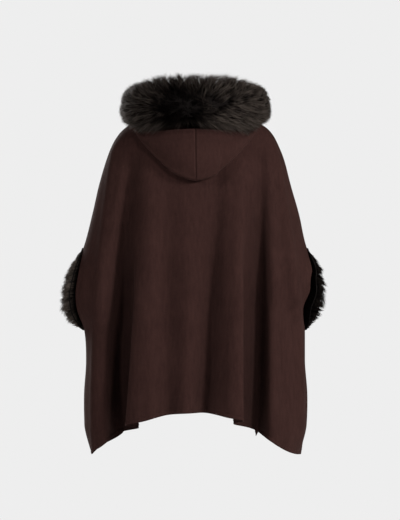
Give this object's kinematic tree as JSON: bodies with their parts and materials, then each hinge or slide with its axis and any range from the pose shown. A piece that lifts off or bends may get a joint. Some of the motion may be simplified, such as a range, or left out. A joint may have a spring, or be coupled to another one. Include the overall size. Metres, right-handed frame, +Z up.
{
  "type": "hooded poncho with faux fur trim",
  "caption": "Hooded poncho in heavy wool cloth, shaped as worn: open front, hood down, faux fur round the hood edge and both arm openings.",
  "frame": {"origin": "middle of the neck base, level with the shoulder seams where they meet the neck", "axes": "+Z up, +Y the way the wearer faces, +X to the wearer's right, so the back faces -Y"},
  "size_m": [0.6712, 0.3391, 0.9502],
  "materials": {
    "wool_cloth": "dark brown double-faced wool with a short matt nap",
    "faux_fur": "black to charcoal faux fur with a long soft pile"
  },
  "bodies": {
    "root": {"back_panel": "wool_cloth", "front_left": "wool_cloth", "front_right": "wool_cloth", "hood_left": "wool_cloth", "hood_right": "wool_cloth", "hood_trim": "faux_fur", "cuff_trim_left": "faux_fur", "cuff_trim_right": "faux_fur"}
  },
  "joints": []
}
